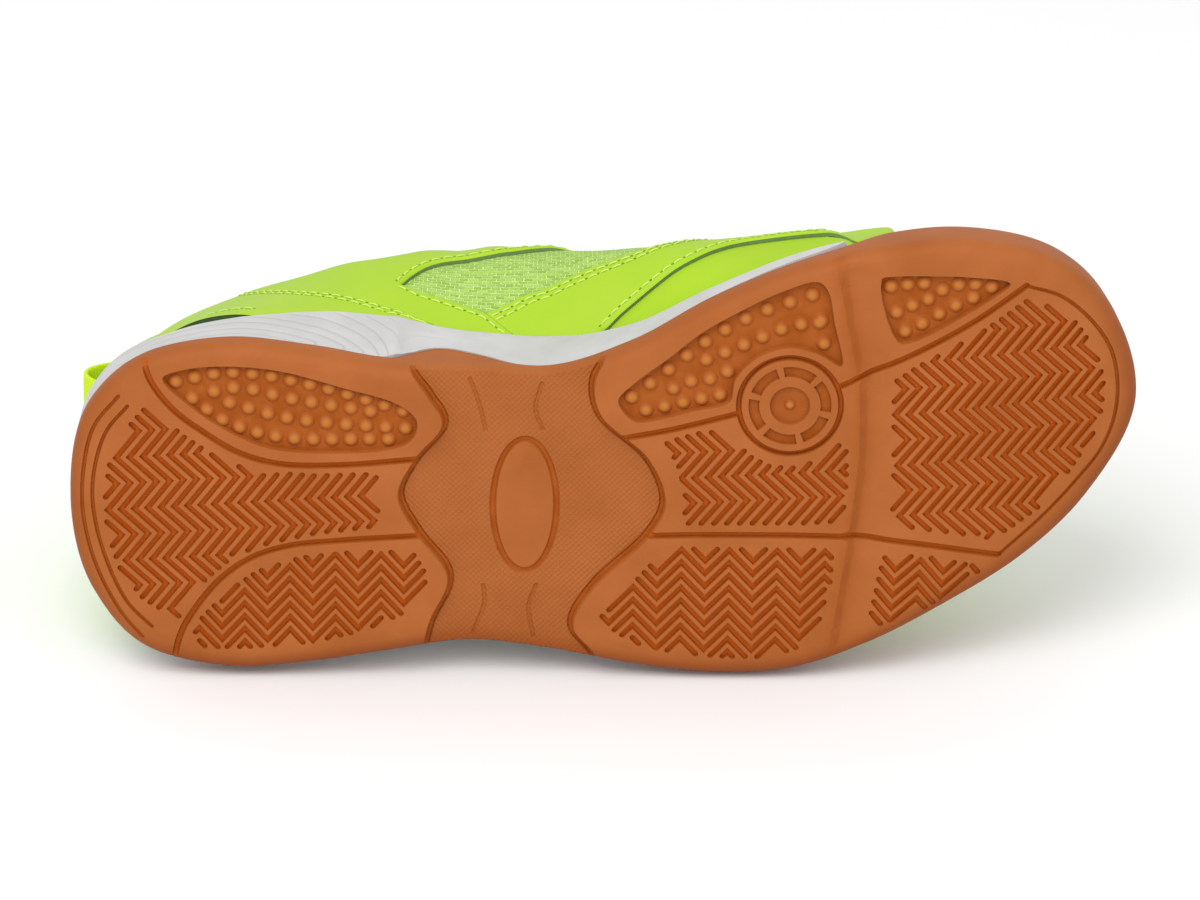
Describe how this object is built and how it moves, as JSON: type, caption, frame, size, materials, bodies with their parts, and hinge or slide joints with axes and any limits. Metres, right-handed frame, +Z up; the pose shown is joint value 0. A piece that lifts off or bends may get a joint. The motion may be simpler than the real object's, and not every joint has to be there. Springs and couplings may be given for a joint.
{
  "type": "indoor court shoe",
  "caption": "Low indoor court shoe for the left foot, lying on its outer side: gum rubber outsole with toe bumper and pivot circle, white foam midsole, neon upper with tongue and lace.",
  "frame": {"origin": "middle of the box round the shoe, on the floor that it lies on", "axes": "+X from heel to toe, +Y from the tread to the collar, +Z up from the floor, towards the inner side of the foot"},
  "size_m": [0.219, 0.0872, 0.0937],
  "materials": {
    "gum_rubber": "matte moulded gum rubber",
    "white_foam": "matte moulded foam with a thin skin",
    "neon_synthetic": "smooth satin synthetic leather",
    "neon_mesh": "matte knitted mesh",
    "neon_webbing": "matte woven tape",
    "insole_fabric": "matte dark lining cloth"
  },
  "bodies": {
    "root": {"outsole": "gum_rubber", "midsole": "white_foam", "insole": "insole_fabric", "upper": "neon_mesh", "heel_counter": "neon_synthetic", "quarter_medial": "neon_synthetic", "quarter_lateral": "neon_synthetic", "saddle_medial": "neon_synthetic", "saddle_lateral": "neon_synthetic", "tongue": "neon_mesh", "lace": "neon_webbing", "pull_loop": "neon_webbing"}
  },
  "joints": []
}
